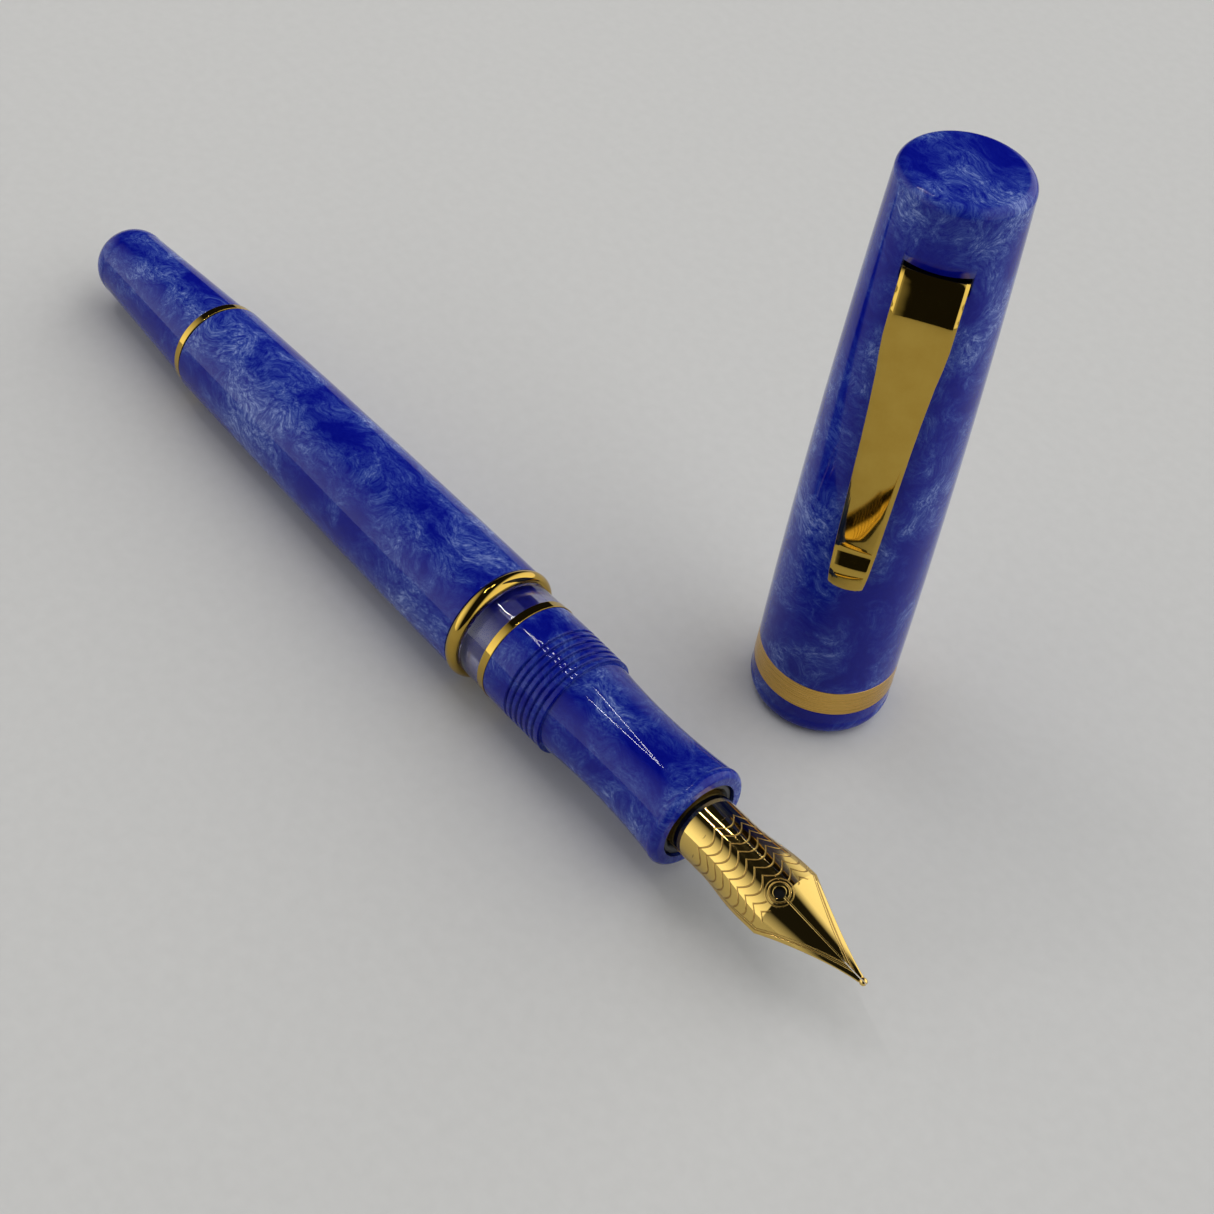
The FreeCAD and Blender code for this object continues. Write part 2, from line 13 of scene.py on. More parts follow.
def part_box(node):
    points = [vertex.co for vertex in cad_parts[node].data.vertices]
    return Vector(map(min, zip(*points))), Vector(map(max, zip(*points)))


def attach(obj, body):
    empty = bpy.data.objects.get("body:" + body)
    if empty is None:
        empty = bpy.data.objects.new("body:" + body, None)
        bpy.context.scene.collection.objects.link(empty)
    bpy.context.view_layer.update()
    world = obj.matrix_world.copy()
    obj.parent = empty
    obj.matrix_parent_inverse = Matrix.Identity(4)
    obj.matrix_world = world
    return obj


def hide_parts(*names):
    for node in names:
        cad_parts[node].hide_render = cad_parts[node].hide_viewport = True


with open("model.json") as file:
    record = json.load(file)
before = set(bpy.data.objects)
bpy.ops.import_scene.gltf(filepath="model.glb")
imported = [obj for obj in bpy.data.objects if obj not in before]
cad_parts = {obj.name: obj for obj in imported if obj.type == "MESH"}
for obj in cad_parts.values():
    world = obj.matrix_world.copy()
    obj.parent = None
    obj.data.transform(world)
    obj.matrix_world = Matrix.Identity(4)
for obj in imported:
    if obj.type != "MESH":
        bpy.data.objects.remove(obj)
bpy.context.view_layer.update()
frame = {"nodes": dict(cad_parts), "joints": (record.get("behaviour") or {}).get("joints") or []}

# ---- Barrel ----
# A tube turned from a rod of marbled acrylic and polished. The filling mechanism is pressed into its rear,
# and the ink window's tenon is glued into its front. It swells slightly between its ends.

MM = 0.001
joints = {joint["name"]: joint for joint in frame["joints"]}
ahead = np.array(joints["piston_travel"]["axis"])
ahead = ahead / np.linalg.norm(ahead)
aside = np.array([0.0, 1.0, 0.0])
pen_axes = np.array([ahead, aside, np.cross(ahead, aside)])
nib_roll = math.radians(22)
nib_axes = np.array([ahead, math.cos(nib_roll) * aside + math.sin(nib_roll) * pen_axes[2],
                     math.cos(nib_roll) * pen_axes[2] - math.sin(nib_roll) * aside])
mouth_station, tail_station, knob_face_station = -5.68, -57.68, -58.73
window_tail, thin_ring_tail = -13.68, -0.98
chamber_radius, mouth_seat_radius = 4.30, 5.45
pen_zero = np.array(joints["knob_turn"]["pos_m"]) - knob_face_station * MM * ahead


def placed(points, zero, axes):
    """Own millimetre coordinates to the frame's metres: the zero point plus each coordinate times its axis."""
    return zero + MM * (np.asarray(points, float) @ axes)


def arc(start, middle, end, count=28):
    """Points on the circle through three points, from the first to the last, at equal angles. The centre is
    where the perpendicular bisectors of the two chords cross."""
    (ax, ay), (bx, by), (cx, cy) = start, middle, end
    twice_area = 2 * (ax * (by - cy) + bx * (cy - ay) + cx * (ay - by))
    a2, b2, c2 = ax * ax + ay * ay, bx * bx + by * by, cx * cx + cy * cy
    centre = np.array([a2 * (by - cy) + b2 * (cy - ay) + c2 * (ay - by),
                       a2 * (cx - bx) + b2 * (ax - cx) + c2 * (bx - ax)]) / twice_area
    spokes = np.array([start, middle, end], float) - centre
    angles = np.unwrap(np.arctan2(spokes[:, 1], spokes[:, 0]))
    turn = np.linspace(angles[0], angles[2], count)
    return centre + np.hypot(*spokes[0]) * np.column_stack([np.cos(turn), np.sin(turn)])


def outline(points, edge=0.06):
    """Samples an outline of (along, out) points. A point with two more numbers is reached by an arc through
    them. Every corner is cut back by `edge` on both sides and bridged by a parabola, and each run keeps a
    pair of close points at both ends, so that its shading stays flat. It is closed unless it starts and
    ends on the axis."""
    is_open = points[0][1] == 0 and points[-1][1] == 0
    runs = []
    for index in range(1 if is_open else 0, len(points)):
        before, point = points[index - 1], points[index]
        straight = np.array([before[:2], point[:2]], float)
        runs.append(arc(before[:2], point[2:], point[:2]) if len(point) == 4 else straight)
    trimmed = []
    for run in runs:
        travelled = np.concatenate([[0], np.cumsum(np.hypot(*np.diff(run, axis=0).T))])
        length = travelled[-1]
        cut = min(edge, 0.3 * length)
        hold = 0.5 * cut
        inside = travelled[(travelled > cut + hold) & (travelled < length - cut - hold)]
        at = np.concatenate([[cut, cut + hold], inside, [length - cut - hold, length - cut]])
        trimmed.append(np.column_stack([np.interp(at, travelled, run[:, axis]) for axis in (0, 1)]))
    share = np.linspace(0, 1, 6)[1:-1, None]
    pieces = [runs[0][:1]] if is_open else []
    for index, run in enumerate(trimmed):
        pieces.append(run)
        if is_open and index == len(trimmed) - 1:
            pieces.append(runs[-1][-1:])
            continue
        corner = runs[index][-1]
        following = trimmed[(index + 1) % len(trimmed)][0]
        pieces.append((1 - share) ** 2 * run[-1] + 2 * share * (1 - share) * corner + share ** 2 * following)
    return np.concatenate(pieces), not is_open


def mesh_object(name, grids, wraps, dropped=None, attribute=None):
    """One object from grids of frame points (rows, columns, 3). Neighbours in rows and columns are joined by
    four-sided faces, last joined to first where a wrap says so. A face is left out where all its points are
    `dropped`, and `attribute` gives each point its place in the piece's flat plan. Points that coincide are
    then merged."""
    points, faces, base = [], [], 0
    for grid, (wrap_rows, wrap_columns) in zip(grids, wraps):
        rows, columns = grid.shape[:2]
        index = base + np.arange(rows * columns).reshape(rows, columns)
        near_rows = index if wrap_rows else index[:-1]
        near = near_rows if wrap_columns else near_rows[:, :-1]
        down = np.roll(index, -1, 0) if wrap_rows else index[1:]
        down_near = down if wrap_columns else down[:, :-1]
        across = np.roll(near_rows, -1, 1) if wrap_columns else near_rows[:, 1:]
        down_across = np.roll(down, -1, 1) if wrap_columns else down[:, 1:]
        faces.append(np.stack([near, across, down_across, down_near], -1).reshape(-1, 4))
        points.append(grid.reshape(-1, 3))
        base += rows * columns
    points, faces = np.concatenate(points), np.concatenate(faces)
    if dropped is not None:
        faces = faces[~dropped[faces].all(1)]
    mesh = bpy.data.meshes.new(name)
    mesh.from_pydata(points, [], faces.tolist())
    if attribute is not None:
        layer = mesh.attributes.new("plan", "FLOAT_VECTOR", "POINT")
        layer.data.foreach_set("vector", attribute.astype(np.float32).ravel())
    work = bmesh.new()
    work.from_mesh(mesh)
    bmesh.ops.remove_doubles(work, verts=work.verts, dist=0.0001 * MM)
    loose = [vertex for vertex in work.verts if not vertex.link_faces]
    bmesh.ops.delete(work, geom=loose, context="VERTS")
    bmesh.ops.recalc_face_normals(work, faces=work.faces)
    work.to_mesh(mesh)
    work.free()
    mesh.shade_smooth()
    made = bpy.data.objects.new(name, mesh)
    bpy.context.scene.collection.objects.link(made)
    return made


def turned(name, points, zero, axes, upright=False, edge=0.06, segments=224, cut=None):
    """Surface turned round the pen's axis, or round the cap's when upright: each outline point goes round a
    circle of its radius. `cut` is a pair of functions: the first adds rows to (along, radius), and the
    second gives a lower radius from (along, radius, angle)."""
    profile, closed = outline(points, edge)
    along, radius = profile[:, :1], profile[:, 1:]
    angle = np.linspace(0, 2 * np.pi, segments, endpoint=False)[None, :]
    if cut is not None:
        add_rows, lower = cut
        along, radius = add_rows(along, radius)
        radius = lower(along, radius, angle)
    radius = radius + 0 * angle
    along = along + 0 * angle
    around = [radius * np.cos(angle), radius * np.sin(angle)]
    local = np.stack([*around, along] if upright else [along, around[1], around[0]], -1)
    return mesh_object(name, [placed(local, zero, axes)], [(closed, True)])


def colour(code):
    """A hex sRGB colour as linear red, green, blue and alpha."""
    parts = np.array([int(code[start:start + 2], 16) for start in (1, 3, 5)]) / 255
    linear = np.where(parts <= 0.04045, parts / 12.92, ((parts + 0.055) / 1.055) ** 2.4)
    return (*linear.tolist(), 1.0)


def add(tree, kind, settings=None, inputs=None, stops=()):
    """Adds one shader node. Settings are its own properties, inputs are values or other nodes' sockets by
    socket name or number, and stops are a colour ramp's (position, colour) pairs."""
    made = tree.nodes.new("ShaderNode" + kind)
    for key, value in (settings or {}).items():
        setattr(made, key, value)
    for key, value in (inputs or {}).items():
        if isinstance(value, bpy.types.NodeSocket):
            tree.links.new(value, made.inputs[key])
        else:
            made.inputs[key].default_value = value
    for index, (position, tone) in enumerate(stops):
        while len(made.color_ramp.elements) <= index:
            made.color_ramp.elements.new(1.0)
        made.color_ramp.elements[index].position = position
        made.color_ramp.elements[index].color = tone
    return made


def new_material(name):
    """An empty material and its node tree."""
    made = bpy.data.materials.new(name)
    made.use_nodes = True
    made.node_tree.nodes.clear()
    return made, made.node_tree


def shade(tree, inputs):
    """Ends a material: one Principled shader with these inputs, joined to the output."""
    shader = add(tree, "BsdfPrincipled", None, inputs)
    add(tree, "OutputMaterial", None, {"Surface": shader.outputs[0]})


def marbled_acrylic():
    """Cast acrylic rod, polished: pearl pigment swirled through ultramarine resin. The pattern runs through
    the solid, so it reads Object coordinates. Pale clouds are about 6 mm across, drawn out along the rod,
    and carry feathery marks about 0.5 mm across. The swirling has bent both by up to 4.5 mm, and the marks
    by up to 0.45 mm more."""
    made, tree = new_material("polished_marbled_acrylic")
    place = add(tree, "TexCoord").outputs["Object"]

    def swirl(position, size, push):
        """Moves a position by a noise of the given size, at most by half of the push either way."""
        noise = add(tree, "TexNoise", None, {"Vector": position, "Scale": 1 / (size * MM), "Detail": 2.0})
        centred = add(tree, "VectorMath", {"operation": "SUBTRACT"}, {0: noise.outputs["Color"],
                                                                      1: (0.5, 0.5, 0.5)})
        pushed = add(tree, "VectorMath", {"operation": "SCALE"}, {0: centred.outputs[0], "Scale": push * MM})
        return add(tree, "VectorMath", {"operation": "ADD"}, {0: position, 1: pushed.outputs[0]}).outputs[0]

    broad = swirl(place, 7.0, 9.0)
    fine = swirl(broad, 1.6, 0.9)
    cloud_place = add(tree, "Mapping", None, {"Vector": broad, "Scale": (0.62, 1.0, 0.8)})
    clouds = add(tree, "TexNoise", None, {"Vector": cloud_place.outputs[0], "Scale": 1 / (5.5 * MM),
                                          "Detail": 3.0, "Roughness": 0.6})
    feather_place = add(tree, "Mapping", None, {"Vector": fine, "Rotation": (0.5, 0.35, 0.4),
                                                "Scale": (0.5, 1.0, 0.7)})
    feathers = add(tree, "TexNoise", None, {"Vector": feather_place.outputs[0], "Scale": 1 / (0.46 * MM),
                                            "Detail": 7.0, "Roughness": 0.85})
    depth = add(tree, "MapRange", {"clamp": True}, {"Value": clouds.outputs["Fac"], "From Min": 0.38,
                                                    "From Max": 0.64, "To Min": 0.16, "To Max": 1.0})
    brush = add(tree, "MapRange", {"clamp": True}, {"Value": feathers.outputs["Fac"], "From Min": 0.36,
                                                    "From Max": 0.66, "To Min": 0.14, "To Max": 1.10})
    pearl = add(tree, "Math", {"operation": "MULTIPLY"}, {0: depth.outputs[0], 1: brush.outputs[0]})
    tint = add(tree, "ValToRGB", None, {"Fac": pearl.outputs[0]}, [
        (0.0, colour("#02077c")), (0.14, colour("#0a1486")), (0.34, colour("#1e2f90")),
        (0.60, colour("#3f54a2")), (1.0, colour("#8a9bcf"))])
    haze = add(tree, "TexNoise", None, {"Vector": place, "Scale": 1 / (3 * MM), "Detail": 2.0})
    polish = add(tree, "MapRange", None, {"Value": haze.outputs["Fac"], "To Min": 0.02, "To Max": 0.06})
    shade(tree, {"Base Color": tint.outputs["Color"], "Roughness": polish.outputs[0], "IOR": 1.49,
                 "Specular IOR Level": 0.2})
    return made


def finish(piece, body, slot, material, *nodes):
    """Gives a piece its material and its body, and hides the CAD nodes that it stands for. The slot is not
    used.
    """
    piece.data.materials.append(material)
    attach(piece, body)
    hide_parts(*nodes)


acrylic = marbled_acrylic()
barrel = turned("barrel_tube", [
    (mouth_station, mouth_seat_radius), (mouth_station, 6.60), (-57.38, 5.808, -31.68, 6.36),
    (tail_station, 5.50), (tail_station, 5.00), (-40.98, 5.00), (-40.98, chamber_radius),
    (window_tail, chamber_radius), (window_tail, mouth_seat_radius)], pen_zero, pen_axes, segments=256)
finish(barrel, "pen", "blue_marbled_acrylic", acrylic, "barrel")

# ---- Rings of the barrel, the window and the knob ----
# Brass rings, turned, polished and gold plated. The half-round one closes the barrel's mouth, a flat one
# parts the window from the section, and a flat one travels with the knob.


def gold_plate(name, tones, rough_low, rough_high, brushed=False):
    """Gold plate on turned brass. Metal keeps the default IOR. Polished plate shows faint wiping marks;
    satin plate is brushed round the cap's upright axis with a 0.1 mm grit, drawn 0.15 mm so that it shows."""
    made, tree = new_material(name)
    place = add(tree, "TexCoord").outputs["Object"]
    stretch = (0.02, 0.02, 1.0) if brushed else (1.0, 1.0, 1.0)
    drawn = add(tree, "Mapping", None, {"Vector": place, "Scale": stretch})
    grain_size = 0.15 if brushed else 2.5
    grain = add(tree, "TexNoise", None, {"Vector": drawn.outputs[0], "Scale": 1 / (grain_size * MM),
                                         "Detail": 3.0, "Roughness": 0.6})
    rough = add(tree, "MapRange", None, {"Value": grain.outputs["Fac"], "From Min": 0.3, "From Max": 0.7,
                                         "To Min": rough_low, "To Max": rough_high})
    tint = add(tree, "ValToRGB", None, {"Fac": grain.outputs["Fac"]}, [
        (0.25, colour(tones[0])), (0.75, colour(tones[1]))])
    bump = add(tree, "Bump", None, {"Height": grain.outputs["Fac"], "Strength": 0.5 if brushed else 0.03,
                                    "Distance": 0.02 * MM})
    shade(tree, {"Base Color": tint.outputs["Color"], "Metallic": 1.0, "Roughness": rough.outputs[0],
                 "Normal": bump.outputs[0]})
    return made


polished_gold = gold_plate("polished_gold_plate", ("#b89640", "#c2a24a"), 0.03, 0.07)
front_ring = turned("barrel_mouth_ring", [
    (mouth_station, mouth_seat_radius), (mouth_station, 6.50), (-4.20, 6.20, -4.90, 6.78),
    (-4.20, mouth_seat_radius)], pen_zero, pen_axes)
finish(front_ring, "pen", "polished_gold_plate", polished_gold, "barrel_front_ring")
thin_ring = turned("window_thin_ring", [
    (thin_ring_tail, 5.02), (thin_ring_tail, 6.04), (0, 6.09), (0, 5.02)], pen_zero, pen_axes)
finish(thin_ring, "pen", "polished_gold_plate", polished_gold, "window_front_ring")
tail_ring = turned("knob_thin_ring", [
    (-58.58, 4.05), (-58.58, 5.67), (tail_station, 5.72), (tail_station, 4.05)], pen_zero, pen_axes)
finish(tail_ring, "knob_carrier", "polished_gold_plate", polished_gold, "knob_ring")

# ---- Ink window ----
# A tube of clear cast acrylic whose middle shoulder is the window. Its two tenons are glued into the barrel
# and the section. It is polished inside and out. Its bore carries a painted reflection: a blue, less clear
# tint that stands in for the pen's blue acrylic seen through the window and reflected in it.


def grained(tree, size, tones, detail=3.0):
    """A noise of the given size in the piece's own space, and the tone that it picks between the two."""
    place = add(tree, "TexCoord").outputs["Object"]
    grain = add(tree, "TexNoise", None, {"Vector": place, "Scale": 1 / (size * MM), "Detail": detail})
    tint = add(tree, "ValToRGB", None, {"Fac": grain.outputs["Fac"]}, [
        (0.3, colour(tones[0])), (0.7, colour(tones[1]))])
    return grain.outputs["Fac"], tint.outputs["Color"]


def clear_acrylic(name, tones, clearness=1.0):
    """Cast acrylic, IOR 1.49, with faint polishing haze: clear, or less clear and tinted, where the tint is a
    painted reflection.
    """
    made, tree = new_material(name)
    haze, tint = grained(tree, 1.5, tones, detail=2.0)
    polish = add(tree, "MapRange", None, {"Value": haze, "To Min": 0.01, "To Max": 0.05})
    shade(tree, {"Base Color": tint, "Roughness": polish.outputs[0], "IOR": 1.49,
                 "Transmission Weight": clearness})
    return made


window = turned("ink_window_tube", [
    (window_tail, chamber_radius), (window_tail, 5.43), (-4.18, 5.43), (-4.18, 5.95), (thin_ring_tail, 5.95),
    (thin_ring_tail, 5.00), (5.40, 5.00), (5.40, chamber_radius)], pen_zero, pen_axes)
clear = clear_acrylic("clear_cast_acrylic", ("#f0f1f8", "#fafaff"))
# The bore's blue tint is a painted reflection of the blue acrylic seen through the window and reflected in it.
painted_reflection_bore = clear_acrylic("bore_painted_blue_reflection", ("#2226b4", "#3a3ec8"), clearness=0.45)
finish(window, "pen", "clear_acrylic", clear, "ink_window")
# The bore's faces, found by their distance from the axis, take the painted blue reflection.
window.data.materials.append(painted_reflection_bore)
for face in window.data.polygons:
    spoke = np.array(face.center) - pen_zero
    from_axis = np.linalg.norm(spoke - (spoke @ ahead) * ahead)
    face.material_index = int(from_axis < (chamber_radius + 0.05) * MM)

# ---- Section ----
# Turned from the same marbled rod: a plain collar, a single-start thread for the cap, a waisted grip and a
# flared lip. It screws onto the window's tenon.

thread_pitch, thread_depth, thread_mouth, thread_floor = 0.85, 0.26, 0.42, 0.06
thread_start, thread_end, thread_crest = 3.0, 8.7, 6.05
crest_margin = 0.06


def thread_rows(first, last, crest, steps=18):
    """Adds rows between two stations of an outline, `steps` to each turn of the thread, at the crest."""
    def insert(along, radius):
        at = np.flatnonzero((np.abs(radius[:, 0] - crest) < crest_margin) & (along[:, 0] > first - 0.1)
                            & (along[:, 0] < last + 0.1))
        count = int((last - first) / thread_pitch * steps)
        fine = np.linspace(along[at[0], 0], along[at[-1], 0], count)[:, None]
        inner = np.linspace(radius[at[0], 0], radius[at[-1], 0], count)[:, None]
        return (np.concatenate([along[:at[0]], fine, along[at[-1] + 1:]]),
                np.concatenate([radius[:at[0]], inner, radius[at[-1] + 1:]]))
    return insert


def thread_cut(first, last, crest):
    """Lowers the radius along a helix: the groove's depth falls in a straight line from its floor to its
    mouth with the distance from the helix, and fades out over the half turn at both ends."""
    def lower(along, radius, angle):
        turns = (along - first) / thread_pitch - angle / (2 * np.pi)
        distance = np.abs(turns - np.round(turns)) * thread_pitch
        flank = np.clip((thread_mouth / 2 - distance) / ((thread_mouth - thread_floor) / 2), 0, 1)
        run_in = np.clip((along - first) / (thread_pitch / 2) - 0.5, 0, 1)
        run_out = np.clip((last - along) / (thread_pitch / 2) - 0.5, 0, 1)
        at_crest = np.abs(radius - crest) < crest_margin
        return radius - thread_depth * flank * run_in * run_out * at_crest
    return lower


section = turned("grip_section", [
    (0, 5.02), (0, 6.00), (thread_start, thread_crest), (thread_end, thread_crest), (thread_end, 5.63),
    (25.0, 5.78, 16.85, 5.27), (26.2, 5.35, 25.95, 5.70), (26.2, 4.46), (12.2, 4.46), (12.2, 2.60),
    (6.0, 2.60), (6.0, 5.02)], pen_zero, pen_axes, segments=256,
    cut=(thread_rows(thread_start, thread_end, thread_crest),
         thread_cut(thread_start, thread_end, thread_crest)))
finish(section, "pen", "blue_marbled_acrylic", acrylic, "section")

# ---- Nib collar and feed ----
# The collar is a black housing pushed into the section's front; the nib and the feed are pressed into it.
# The feed is moulded in black plastic, stepped down under the nib, with combs cut across its belly.


def moulded_plastic():
    """Black moulded plastic, IOR 1.5, satin, with the fine grain that the mould's steel leaves."""
    made, tree = new_material("moulded_black_plastic")
    grain, tint = grained(tree, 0.3, ("#0c0c0e", "#17171a"))
    rough = add(tree, "MapRange", None, {"Value": grain, "To Min": 0.25, "To Max": 0.42})
    bump = add(tree, "Bump", None, {"Height": grain, "Strength": 0.15, "Distance": 0.02 * MM})
    shade(tree, {"Base Color": tint, "Roughness": rough.outputs[0], "IOR": 1.5, "Normal": bump.outputs[0]})
    return made


black_plastic = moulded_plastic()
collar = turned("nib_collar_sleeve", [
    (12.22, 1.60), (12.22, 4.44), (25.70, 4.44), (25.90, 4.24), (25.90, 3.87), (25.55, 3.52),
    (13.82, 3.52), (13.82, 1.60)], pen_zero, pen_axes, edge=0.05)
finish(collar, "pen", "black_moulded_plastic", black_plastic, "nib_collar")

feed_rear, feed_step, feed_taper, feed_front = 14.6, 27.4, 34.36, 45.8
feed_full, feed_under, feed_drop, feed_power = 3.48, 3.13, 2.45, 1.05
feed_wrap, comb_root = 96, 1.1
comb_first, comb_pitch, comb_slot, comb_count = 28.6, 0.86, 0.36, 11


def feed_radius(station, angle):
    """The feed's radius at a station and an angle from the top. Up to the step it is full, except where the
    nib wraps it. From the taper on it drops by one minus the cosine of the way to the tip, to a power. In a
    comb's slot, the part below the root is flat: the radius is the root's depth over the cosine of the
    angle from straight down."""
    share = np.clip((station - feed_taper) / (feed_front - feed_taper), 0, 1)
    under = feed_under - feed_drop * (1 - np.cos(share * np.pi / 2)) ** feed_power
    wrapped = np.abs(angle) < math.radians(feed_wrap)
    radius = np.where((station < feed_step) & ~wrapped, feed_full, under)
    turn = (station - comb_first) / comb_pitch
    slot = (turn > 0) & (turn < comb_count) & ((turn % 1) * comb_pitch < comb_slot)
    down = np.maximum(-np.cos(angle), 1e-3)
    return np.where(slot & (np.cos(angle) < 0), np.minimum(radius, np.maximum(comb_root / down, 0.2)), radius)


def with_ends(grid, first, last):
    """Closes a tube of loops: a row that lies all at one point goes before it, and another after it."""
    before, after = (np.broadcast_to(point, grid[:1].shape) for point in (first, last))
    return np.concatenate([before, grid, after])


comb_edges = comb_first + comb_pitch * np.arange(comb_count)
feed_stations = np.unique(np.concatenate([
    np.linspace(feed_rear, feed_step, 8), [feed_step + 0.02], np.linspace(28, feed_front, 90),
    comb_edges - 0.01, comb_edges + 0.01, comb_edges + comb_slot - 0.01, comb_edges + comb_slot + 0.01]))
feed_angles = np.unique(np.concatenate([
    np.linspace(-np.pi, np.pi, 97),
    np.radians([side * feed_wrap + step for side in (-1, 1) for step in (-0.5, 0.5)])]))[:-1]
feed_grid_radius = feed_radius(feed_stations[:, None], feed_angles[None, :])
feed_grid = np.stack([feed_stations[:, None] + 0 * feed_grid_radius, feed_grid_radius * np.sin(feed_angles),
                      feed_grid_radius * np.cos(feed_angles)], -1)
feed_grid = with_ends(feed_grid, [feed_rear, 0, 0], [feed_front, 0, 0])
feed = mesh_object("ink_feed", [placed(feed_grid, pen_zero, nib_axes)], [(False, True)])
finish(feed, "pen", "black_moulded_plastic", black_plastic, "feed")

# ---- Nib and tipping ----
# Gold sheet 0.35 mm thick, bent round the feed, widest at its shoulders and drawn down to a slit point. Its
# face is engraved with a border line, two rings round the breather hole and a field of plain scallops.

nib_rear, nib_parallel_end, nib_shoulder, nib_point = 14.6, 30.2, 38.36, 48.26
nib_sheet, nib_wrap, nib_taper_power = 0.35, math.radians(95), 1.15
nib_tube_radius, nib_shoulder_radius, nib_point_radius = 3.5, 4.6, 2.2
nib_shoulder_top, nib_point_top = 3.35, 0.55
nib_shoulder_half, nib_point_half = 4.1, 0.40
breather_station, breather_radius, slit_half = 38.0, 0.62, 0.06


def nib_section(station):
    """Crown radius, crown height and half angle at each station: parallel, then eased to the shoulders, then
    drawn in to the point, where the half width falls with a power of the way left."""
    ease = np.clip((station - nib_parallel_end) / (nib_shoulder - nib_parallel_end), 0, 1)
    ease = ease * ease * (3 - 2 * ease)
    share = np.clip((station - nib_shoulder) / (nib_point - nib_shoulder), 0, 1)
    radius = np.where(share > 0, nib_shoulder_radius * (1 - share) + nib_point_radius * share,
                      nib_tube_radius * (1 - ease) + nib_shoulder_radius * ease)
    top = np.where(share > 0, nib_shoulder_top * (1 - share) + nib_point_top * share,
                   nib_tube_radius * (1 - ease) + nib_shoulder_top * ease)
    half_width = nib_shoulder_half * (1 - share) ** nib_taper_power + nib_point_half * share
    tine = np.arcsin(np.clip(half_width / radius, 0, 1))
    shoulder_angle = math.asin(nib_shoulder_half / nib_shoulder_radius)
    return radius, top, np.where(share > 0, tine, nib_wrap * (1 - ease) + shoulder_angle * ease)


def nib_half(side, stations, columns=56):
    """One half of the nib as a grid of closed loops, with its (across, station, distance from edge) plan.
    A loop runs over the face from the slit to the edge, round the edge in a half circle, and back under.
    The slit side follows the centre line, the breather hole's circle and then the slit's wall."""
    radius, top, half_angle = (value[:, None] for value in nib_section(stations))
    offset = np.abs(stations - breather_station)
    hole = np.sqrt(np.clip(breather_radius ** 2 - offset ** 2, 0, None))
    slit = np.where(stations > breather_station, np.maximum(hole, slit_half), hole)[:, None]
    middle = radius - nib_sheet / 2
    first, last = np.arcsin(slit / radius), half_angle - nib_sheet / 2 / middle
    share = np.linspace(0, 1, columns)[None, :]
    over = first + (last - first) * share
    turn = np.linspace(np.pi / 2, -np.pi / 2, 9)[None, 1:-1]
    edge_angle = last + nib_sheet / 2 * np.cos(turn) / middle
    edge_height = middle + nib_sheet / 2 * np.sin(turn)
    angle = np.concatenate([over, edge_angle, over[:, ::-1]], 1)
    height = np.concatenate([radius + 0 * over, edge_height, radius - nib_sheet + 0 * over], 1)
    across = side * height * np.sin(angle)
    across[(slit[:, 0] == 0), 0] = across[(slit[:, 0] == 0), -1] = 0
    grid = np.stack([stations[:, None] + 0 * angle, across, top - radius + height * np.cos(angle)], -1)
    face = np.arange(angle.shape[1])[None, :] < columns
    to_edge = np.where(face, radius * (half_angle - angle), -1.0)
    plan = np.stack([side * radius * angle, stations[:, None] + 0 * angle, to_edge], -1)
    return with_ends(grid, grid[0].mean(0), grid[-1].mean(0)), with_ends(plan, plan[0], plan[-1])


hole_turn = np.linspace(0, np.pi, 25)
nib_stations = np.unique(np.concatenate([
    np.linspace(nib_rear, nib_parallel_end, 20), np.linspace(nib_parallel_end, nib_point, 150),
    breather_station - breather_radius * np.cos(hole_turn)]))
halves = [nib_half(side, nib_stations) for side in (1, -1)]
seam = np.concatenate([np.abs(grid[..., 1]).ravel() < 1e-9 for grid, plan in halves])
nib_plan = np.concatenate([plan.reshape(-1, 3) for grid, plan in halves])
nib = mesh_object("nib_blade", [placed(grid, pen_zero, nib_axes) for grid, plan in halves],
                  [(False, True), (False, True)], dropped=seam, attribute=nib_plan)


